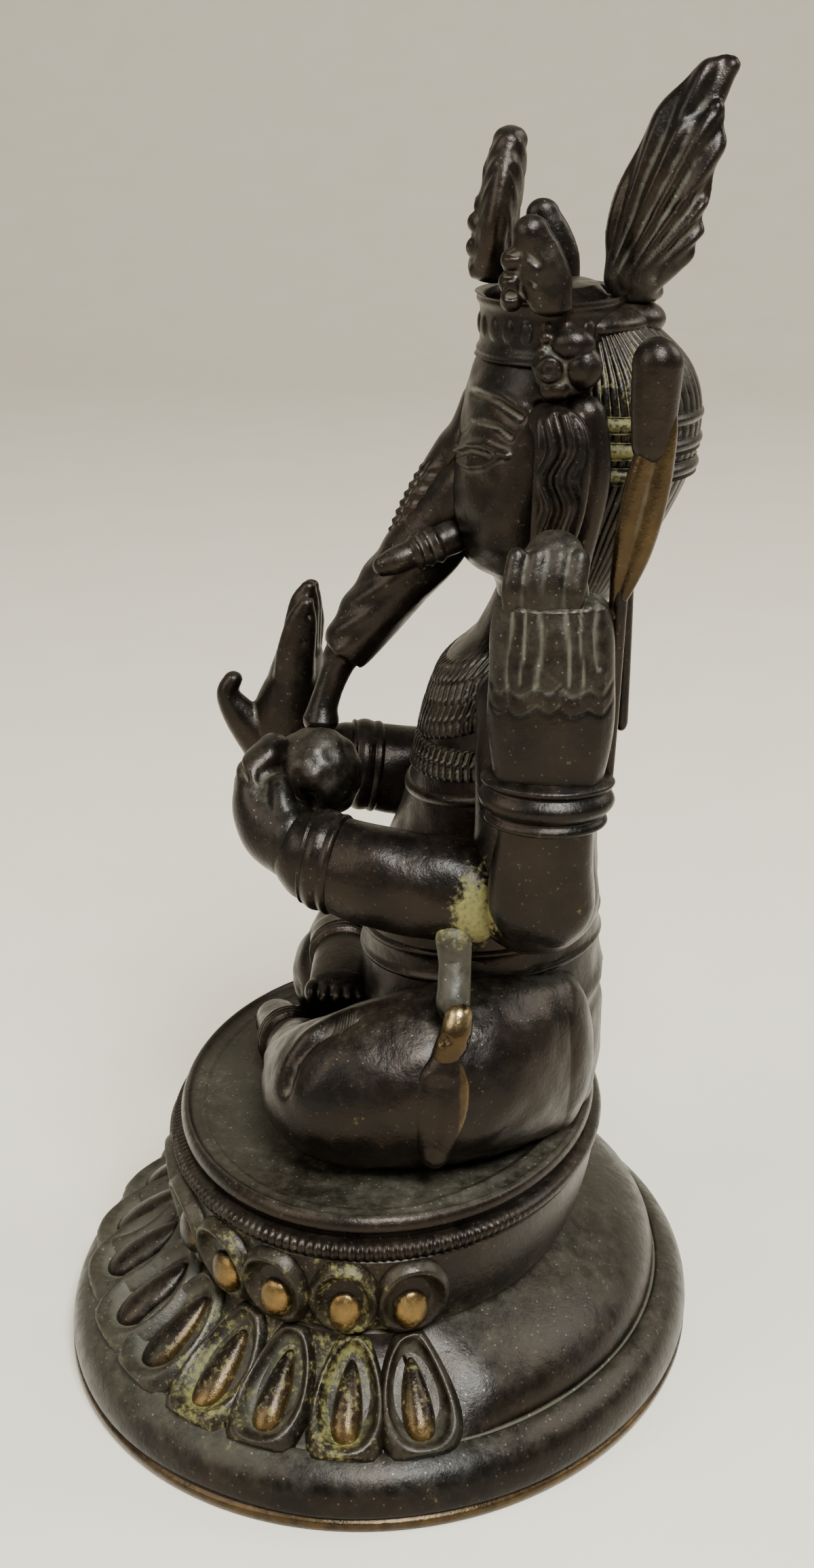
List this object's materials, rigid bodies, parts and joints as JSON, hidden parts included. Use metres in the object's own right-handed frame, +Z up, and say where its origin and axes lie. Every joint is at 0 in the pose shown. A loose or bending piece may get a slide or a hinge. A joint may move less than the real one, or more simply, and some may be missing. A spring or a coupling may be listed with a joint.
{
  "type": "seated ganesha statue",
  "caption": "Seated four-armed elephant-headed deity statue in dark cast brass, on an oval double-lotus base with a plain back, holding sweets, an axe and a goad.",
  "frame": {"origin": "middle of the flat underside of the lotus foot", "axes": "+Z up along the figure, the figure faces -Y, +X to the figure's left"},
  "size_m": [0.112, 0.089, 0.1759],
  "materials": {
    "dark_brass": "dark brown patina, satin, dusty in the hollows",
    "worn_brass": "brown patina worn through to brass on the high edges",
    "bright_brass": "polished by handling",
    "copper": "thin reddish copper-coloured plate, brushed"
  },
  "bodies": {
    "root": {"base_plate": "copper", "lotus_foot": "dark_brass", "foot_petals": "dark_brass", "seat_drum": "dark_brass", "drum_petals": "dark_brass", "bead_rim": "worn_brass", "seat_deck": "dark_brass", "figure_rivets": "bright_brass", "torso": "dark_brass", "neck_pin": "bright_brass", "left_leg": "dark_brass", "right_leg": "dark_brass", "left_foot": "dark_brass", "right_foot": "dark_brass", "left_anklet": "worn_brass", "right_anklet": "worn_brass", "belt": "worn_brass", "chest_band": "worn_brass", "necklace": "worn_brass", "left_upper_arm": "dark_brass", "right_upper_arm": "dark_brass", "left_front_forearm": "dark_brass", "right_front_forearm": "dark_brass", "left_front_hand": "dark_brass", "right_front_hand": "dark_brass", "left_bracelet": "worn_brass", "right_bracelet": "worn_brass", "left_rear_forearm": "dark_brass", "right_rear_forearm": "dark_brass", "left_rear_hand": "dark_brass", "right_rear_hand": "dark_brass", "left_armlet": "worn_brass", "right_armlet": "worn_brass", "axe": "bright_brass", "goad": "bright_brass", "sweet_ball": "worn_brass", "head": "dark_brass", "trunk": "dark_brass", "left_tusk": "bright_brass", "right_tusk": "bright_brass", "left_ear": "dark_brass", "right_ear": "dark_brass", "brow_ornament": "worn_brass", "crown_band": "worn_brass", "front_crown_leaf": "worn_brass", "left_crown_leaf": "worn_brass", "right_crown_leaf": "worn_brass", "left_rosette": "worn_brass", "right_rosette": "worn_brass", "hair_bun": "dark_brass", "hair_ribbon": "worn_brass", "crest": "dark_brass", "crest_peg": "bright_brass", "left_scarf": "worn_brass", "right_scarf": "worn_brass", "left_scarf_knot": "bright_brass", "right_scarf_knot": "bright_brass"}
  },
  "joints": []
}
